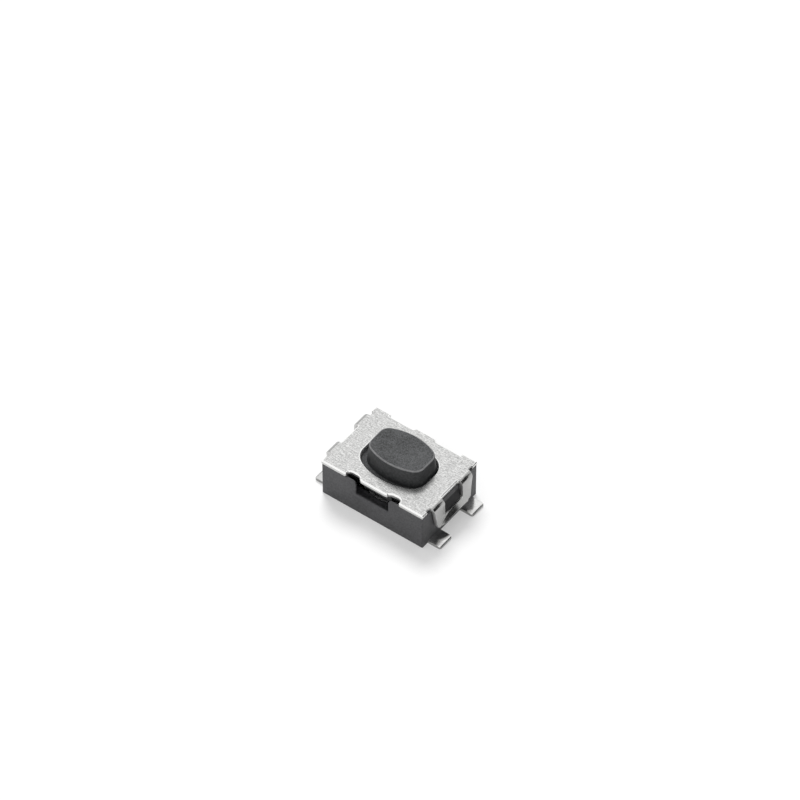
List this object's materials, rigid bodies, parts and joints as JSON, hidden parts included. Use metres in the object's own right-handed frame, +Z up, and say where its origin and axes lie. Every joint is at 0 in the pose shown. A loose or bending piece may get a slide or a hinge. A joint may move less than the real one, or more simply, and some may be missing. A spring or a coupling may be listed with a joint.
{
  "type": "tactile push button switch",
  "caption": "Surface-mount tactile push button: moulded housing, snap dome, sprung button and a snapped-on sheet cover over flat solder terminals.",
  "frame": {"origin": "centre of the underside, in the plane of the board", "axes": "+X along the length between the terminal ends, +Y to the side with the wide window, +Z up out of the board and against the press"},
  "size_m": [0.0048, 0.0028, 0.002],
  "materials": {
    "housing_plastic": "fine spark-eroded mould texture, heat-resistant black thermoplastic",
    "contact_plating": "bright silver plating on rolled brass strip",
    "spring_steel": "rolled stainless spring strip",
    "button_plastic": "fine-grained dark grey polyamide",
    "cover_steel": "fine rolled grain, bright sheared edges"
  },
  "bodies": {
    "base": {"housing": "housing_plastic", "centre_contact": "contact_plating", "rim_contact": "contact_plating", "snap_dome": "spring_steel", "cover": "cover_steel"},
    "plunger": {"button": "button_plastic"}
  },
  "joints": [
    {"name": "button_press", "type": "slide", "parent": "base", "child": "plunger", "axis": [0, 0, -1], "range_m": [0, 0.0002], "stiffness_N_per_m": 10000, "deforming": ["snap_dome"]}
  ]
}
